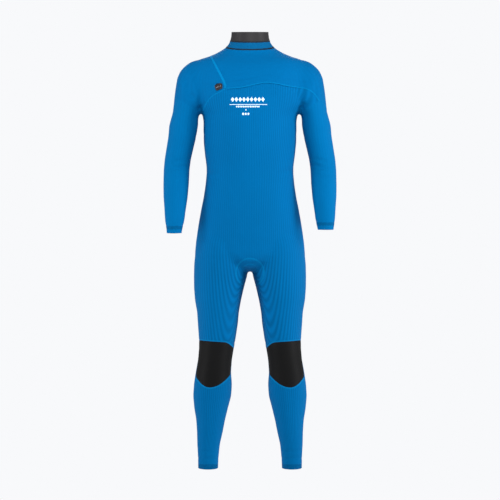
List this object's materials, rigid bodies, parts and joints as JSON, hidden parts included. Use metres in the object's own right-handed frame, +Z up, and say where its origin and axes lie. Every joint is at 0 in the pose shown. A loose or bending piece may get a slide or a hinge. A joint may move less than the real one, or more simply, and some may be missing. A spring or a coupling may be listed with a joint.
{
  "type": "full wetsuit",
  "caption": "Full-length blue wetsuit with black neck seal and knee pads, chest zip under a flap, long sleeves and legs.",
  "frame": {"origin": "centre of the neck opening, at the collar's top edge", "axes": "+Z up from ankles to neck, +X to the wearer's left, the chest faces -Y"},
  "size_m": [0.5624, 0.2426, 1.425],
  "materials": {
    "blue_neoprene": "jersey-lined foam, matt with a soft sheen",
    "sleeve_neoprene": "jersey-lined foam, matt with a soft sheen",
    "leg_neoprene": "jersey-lined foam, matt with a soft sheen",
    "collar_neoprene": "jersey-lined foam",
    "smooth_skin": "smooth foam rubber skin, satin",
    "bound_edge": "woven binding",
    "seam_tape": "glued stretch tape",
    "knee_rubber": "abrasion-proof rubberised knit",
    "black_neoprene": "jersey-lined foam",
    "zip_cloth": "woven zip tape",
    "zip_plastic": "moulded teeth",
    "slider_metal": "black enamel",
    "pull_rubber": "moulded, with raised dots"
  },
  "bodies": {
    "torso": {"front_panel": "blue_neoprene", "back_panel": "blue_neoprene", "neck_yoke": "blue_neoprene", "right_shoulder_panel": "blue_neoprene", "outer_collar": "collar_neoprene", "collar_trim": "bound_edge", "seal_trim": "bound_edge", "neck_seal": "smooth_skin", "left_underarm_gusset": "blue_neoprene", "right_underarm_gusset": "blue_neoprene", "crotch_gusset": "blue_neoprene", "shoulder_seam_tape": "seam_tape", "crotch_seam_tape": "seam_tape", "zip_flap": "blue_neoprene", "zip_tape_upper": "zip_cloth", "zip_tape_lower": "zip_cloth", "zip_teeth_upper": "zip_plastic", "zip_teeth_lower": "zip_plastic", "zip_end_stops": "zip_plastic", "inner_barrier": "black_neoprene", "left_shoulder_sleeve": "sleeve_neoprene", "right_shoulder_sleeve": "sleeve_neoprene", "left_hip_section": "leg_neoprene", "right_hip_section": "leg_neoprene"},
    "left_upper_arm": {"left_upper_sleeve": "sleeve_neoprene", "left_elbow_section": "sleeve_neoprene"},
    "left_forearm": {"left_forearm_sleeve": "sleeve_neoprene", "left_wrist_cuff": "sleeve_neoprene"},
    "left_thigh": {"left_thigh_panel": "leg_neoprene", "left_knee_pad": "knee_rubber", "left_knee_back": "leg_neoprene"},
    "left_shin": {"left_calf_panel": "leg_neoprene", "left_ankle_cuff": "leg_neoprene"},
    "right_upper_arm": {"right_upper_sleeve": "sleeve_neoprene", "right_elbow_section": "sleeve_neoprene"},
    "right_forearm": {"right_forearm_sleeve": "sleeve_neoprene", "right_wrist_cuff": "sleeve_neoprene"},
    "right_thigh": {"right_thigh_panel": "leg_neoprene", "right_knee_pad": "knee_rubber", "right_knee_back": "leg_neoprene"},
    "right_shin": {"right_calf_panel": "leg_neoprene", "right_ankle_cuff": "leg_neoprene"},
    "slider": {"zip_slider": "slider_metal"},
    "pull": {"zip_pull": "pull_rubber"}
  },
  "joints": [
    {"name": "left_shoulder", "type": "hinge", "parent": "torso", "child": "left_upper_arm", "pos_m": [0.19, 0, -0.21], "axis": [0, -1, 0], "range_deg": [-4, 60], "stiffness_Nm_per_rad": 1.5, "deforming": ["left_shoulder_sleeve"]},
    {"name": "left_elbow", "type": "hinge", "parent": "left_upper_arm", "child": "left_forearm", "pos_m": [0.238, 0, -0.44], "axis": [-1, 0, 0], "range_deg": [0, 80], "stiffness_Nm_per_rad": 0.6, "deforming": ["left_elbow_section"]},
    {"name": "left_hip", "type": "hinge", "parent": "torso", "child": "left_thigh", "pos_m": [0.1, 0, -0.725], "axis": [-1, 0, 0], "range_deg": [-15, 60], "stiffness_Nm_per_rad": 2, "deforming": ["left_hip_section"]},
    {"name": "left_knee", "type": "hinge", "parent": "left_thigh", "child": "left_shin", "pos_m": [0.1145, 0, -1.075], "axis": [1, 0, 0], "range_deg": [0, 90], "stiffness_Nm_per_rad": 1, "deforming": ["left_knee_pad", "left_knee_back"]},
    {"name": "right_shoulder", "type": "hinge", "parent": "torso", "child": "right_upper_arm", "pos_m": [-0.19, 0, -0.21], "axis": [0, 1, 0], "range_deg": [-4, 60], "stiffness_Nm_per_rad": 1.5, "deforming": ["right_shoulder_sleeve"]},
    {"name": "right_elbow", "type": "hinge", "parent": "right_upper_arm", "child": "right_forearm", "pos_m": [-0.238, 0, -0.44], "axis": [-1, 0, 0], "range_deg": [0, 80], "stiffness_Nm_per_rad": 0.6, "deforming": ["right_elbow_section"]},
    {"name": "right_hip", "type": "hinge", "parent": "torso", "child": "right_thigh", "pos_m": [-0.1, 0, -0.725], "axis": [-1, 0, 0], "range_deg": [-15, 60], "stiffness_Nm_per_rad": 2, "deforming": ["right_hip_section"]},
    {"name": "right_knee", "type": "hinge", "parent": "right_thigh", "child": "right_shin", "pos_m": [-0.1145, 0, -1.075], "axis": [1, 0, 0], "range_deg": [0, 90], "stiffness_Nm_per_rad": 1, "deforming": ["right_knee_pad", "right_knee_back"]},
    {"name": "zip_slide", "type": "hinge", "parent": "torso", "child": "slider", "pos_m": [0, 0.21644, -0.177], "axis": [0, 0, 1], "range_deg": [0, 39]},
    {"name": "pull_swing", "type": "hinge", "parent": "slider", "child": "pull", "pos_m": [-0.09822, -0.09697, -0.177], "axis": [-0.299, -0.9542, 0], "range_deg": [-30, 65]}
  ]
}
